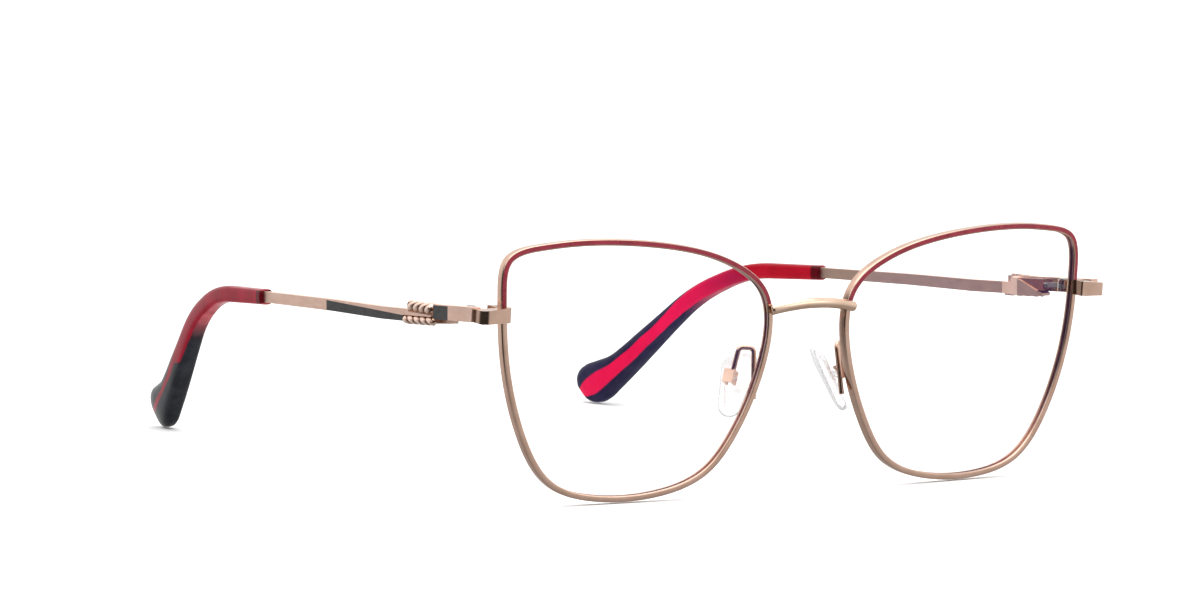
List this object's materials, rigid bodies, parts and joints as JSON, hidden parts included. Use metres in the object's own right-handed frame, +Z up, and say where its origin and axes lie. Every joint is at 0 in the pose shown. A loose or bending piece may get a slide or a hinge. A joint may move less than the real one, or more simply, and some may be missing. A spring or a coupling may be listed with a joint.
{
  "type": "eyeglasses",
  "caption": "Full-rim metal eyeglasses with clear lenses, two-colour front, spring-hinged temples with rope ornaments and acetate tips.",
  "frame": {"origin": "on the table plane, under the middle of the bounding box, between the rims and the tips", "axes": "+Z up, +X to the wearer's left, -Y the way the wearer looks; the open temples run towards +Y"},
  "size_m": [0.138, 0.1383, 0.0459],
  "materials": {
    "rose_gold": "polished rose-gold plate, the rims with a burgundy enamel on the front of their upper part",
    "pink_gold": "satin pink-gold plate",
    "charcoal_enamel": "gloss cold enamel",
    "steel": "turned",
    "acetate": "polished laminated acetate, red between near-black layers",
    "silicone": "clear, soft",
    "lens": "clear, coated"
  },
  "bodies": {
    "front": {"bridge": "rose_gold", "left_rim": "rose_gold", "left_lens": "lens", "left_endpiece": "rose_gold", "left_rim_lock_upper": "rose_gold", "left_rim_lock_lower": "rose_gold", "left_rim_lock_screw": "steel", "left_hinge_leaf": "rose_gold", "left_pad_arm": "rose_gold", "left_pad_box": "rose_gold", "left_pad_screw": "steel", "right_rim": "rose_gold", "right_lens": "lens", "right_endpiece": "rose_gold", "right_rim_lock_upper": "rose_gold", "right_rim_lock_lower": "rose_gold", "right_rim_lock_screw": "steel", "right_hinge_leaf": "rose_gold", "right_pad_arm": "rose_gold", "right_pad_box": "rose_gold", "right_pad_screw": "steel"},
    "left_pin": {"left_hinge_screw": "steel"},
    "left_tongue": {"left_hinge_tongue": "steel"},
    "left_temple": {"left_temple_front_bar": "pink_gold", "left_front_enamel": "charcoal_enamel", "left_hinge_housing": "rose_gold", "left_spring_bush": "steel", "left_hinge_spring": "steel", "left_temple_rear_bar": "pink_gold", "left_rear_enamel": "charcoal_enamel", "left_upper_rope": "rose_gold", "left_lower_rope": "rose_gold", "left_temple_tip": "acetate"},
    "left_pad": {"left_nose_pad": "silicone"},
    "right_pin": {"right_hinge_screw": "steel"},
    "right_tongue": {"right_hinge_tongue": "steel"},
    "right_temple": {"right_temple_front_bar": "pink_gold", "right_front_enamel": "charcoal_enamel", "right_hinge_housing": "rose_gold", "right_spring_bush": "steel", "right_hinge_spring": "steel", "right_temple_rear_bar": "pink_gold", "right_rear_enamel": "charcoal_enamel", "right_upper_rope": "rose_gold", "right_lower_rope": "rose_gold", "right_temple_tip": "acetate"},
    "right_pad": {"right_nose_pad": "silicone"}
  },
  "joints": [
    {"name": "left_fold", "type": "hinge", "parent": "front", "child": "left_pin", "pos_m": [0.06538, -0.05703, 0.03319], "axis": [0, -0.0609, 0.9981], "range_deg": [0, 84]},
    {"name": "left_flex", "type": "hinge", "parent": "left_pin", "child": "left_tongue", "pos_m": [0.06538, -0.05703, 0.03319], "axis": [0, 0.0609, -0.9981], "range_deg": [0, 12], "stiffness_Nm_per_rad": 0.2},
    {"name": "left_spring_travel", "type": "slide", "parent": "left_tongue", "child": "left_temple", "axis": [-0.0728, 0.996, -0.0518], "range_m": [0, 0.00073], "deforming": ["left_hinge_spring"]},
    {"name": "left_pad_tilt", "type": "hinge", "parent": "front", "child": "left_pad", "pos_m": [0.01202, -0.06, 0.02012], "axis": [0.4513, 0.8923, -0.0053], "range_deg": [-10, 10]},
    {"name": "right_fold", "type": "hinge", "parent": "front", "child": "right_pin", "pos_m": [-0.06538, -0.05703, 0.03319], "axis": [0, 0.0609, -0.9981], "range_deg": [0, 74]},
    {"name": "right_flex", "type": "hinge", "parent": "right_pin", "child": "right_tongue", "pos_m": [-0.06538, -0.05703, 0.03319], "axis": [0, -0.0609, 0.9981], "range_deg": [0, 12], "stiffness_Nm_per_rad": 0.2},
    {"name": "right_spring_travel", "type": "slide", "parent": "right_tongue", "child": "right_temple", "axis": [0.0728, 0.996, -0.0518], "range_m": [0, 0.00073], "deforming": ["right_hinge_spring"]},
    {"name": "right_pad_tilt", "type": "hinge", "parent": "front", "child": "right_pad", "pos_m": [-0.01202, -0.06, 0.02012], "axis": [0.4513, -0.8923, 0.0053], "range_deg": [-10, 10]}
  ],
  "couplings": [
    {"joint": "left_spring_travel", "follows": "left_flex", "m_per_rad": 0.0034377},
    {"joint": "right_spring_travel", "follows": "right_flex", "m_per_rad": 0.0034377}
  ]
}
